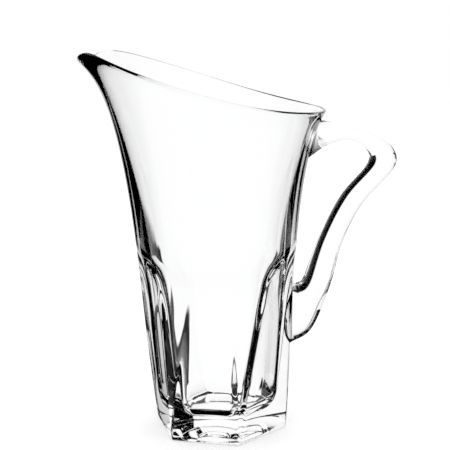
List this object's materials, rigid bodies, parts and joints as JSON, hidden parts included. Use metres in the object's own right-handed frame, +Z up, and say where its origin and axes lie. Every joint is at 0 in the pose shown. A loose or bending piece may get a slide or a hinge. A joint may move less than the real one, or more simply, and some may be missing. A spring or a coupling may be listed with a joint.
{
  "type": "glass water pitcher",
  "caption": "Clear glass water pitcher with a flaring slanted mouth, a pulled pouring lip, flat twisting panels above a thick polygonal foot and a solid applied handle.",
  "frame": {"origin": "on the vessel's axis, at the plane that the foot rests on", "axes": "+Z up along the vessel's axis, +X toward the handle, -X toward the pouring lip"},
  "size_m": [0.2132, 0.1491, 0.2664],
  "materials": {
    "clear_glass": "fire-polished, colourless and clear"
  },
  "bodies": {
    "root": {"vessel": "clear_glass", "handle": "clear_glass"}
  },
  "joints": []
}
